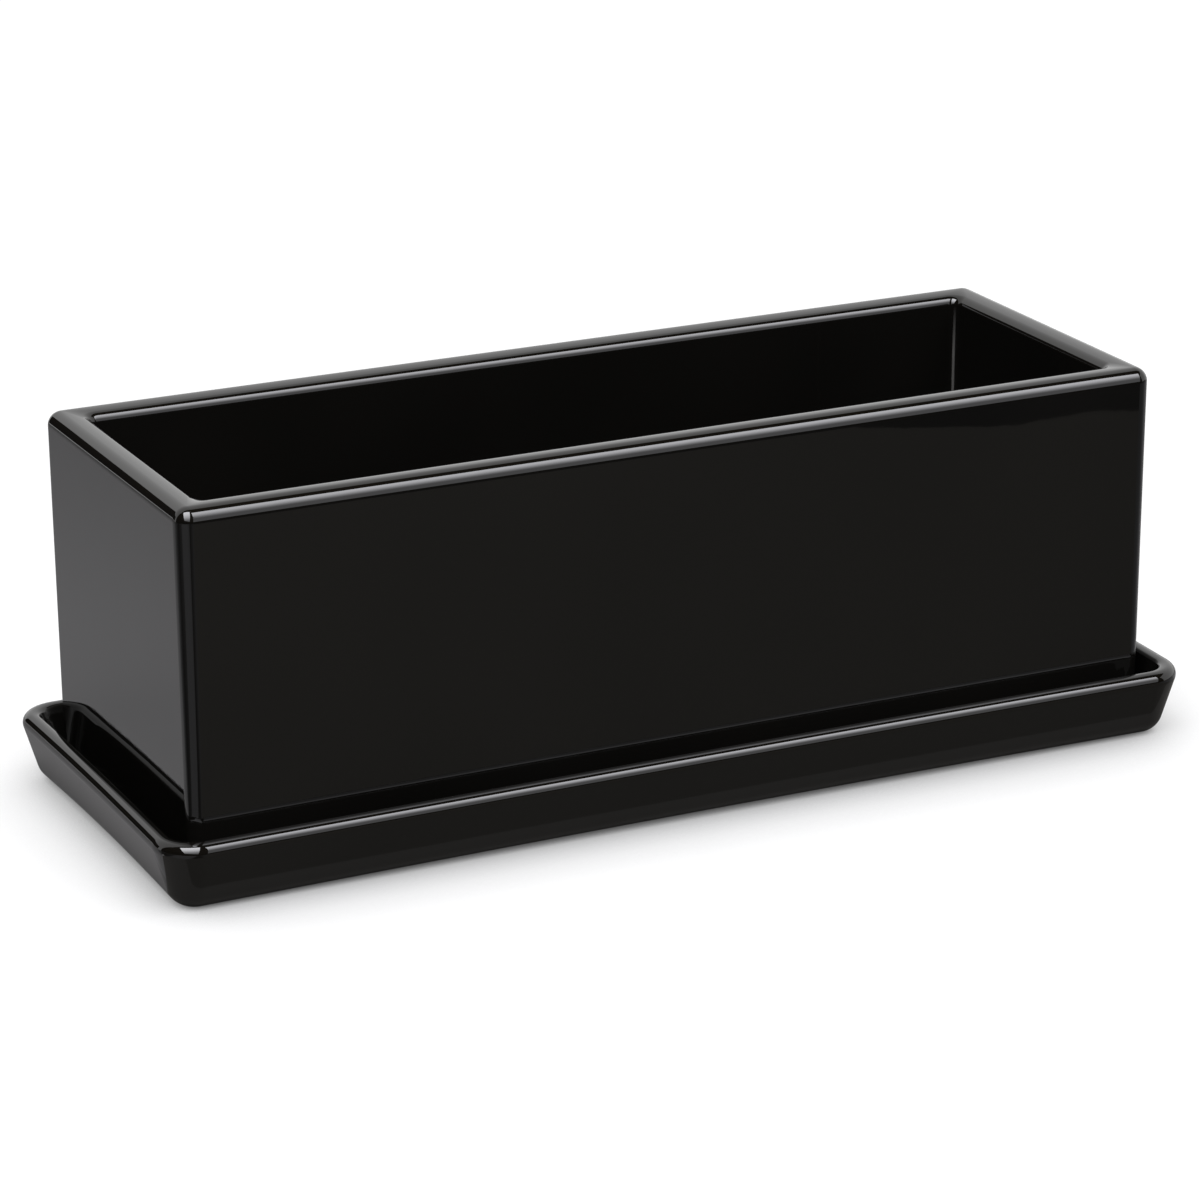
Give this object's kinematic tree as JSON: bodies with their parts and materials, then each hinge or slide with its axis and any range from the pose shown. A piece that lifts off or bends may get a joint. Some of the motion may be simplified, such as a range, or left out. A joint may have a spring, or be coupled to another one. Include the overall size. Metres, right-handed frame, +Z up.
{
  "type": "ceramic window box",
  "caption": "Long rectangular glazed ceramic window box with drain holes and low feet, standing in a matching flared drip tray that it lifts out of.",
  "frame": {"origin": "middle of the drip tray's underside, on the surface that it stands on", "axes": "+X along the box's length, -Y towards the front face, +Z up out of the box"},
  "size_m": [0.326, 0.129, 0.113],
  "materials": {
    "box_glaze": "high-gloss black glaze, unglazed soles",
    "tray_glaze": "high-gloss black glaze, unglazed foot ring"
  },
  "bodies": {
    "tray": {"drip_tray": "tray_glaze"},
    "box": {"planter_box": "box_glaze"}
  },
  "joints": [
    {"name": "box_lift", "type": "slide", "parent": "tray", "child": "box", "axis": [0, 0, 1], "range_m": [0, 0.06]}
  ]
}
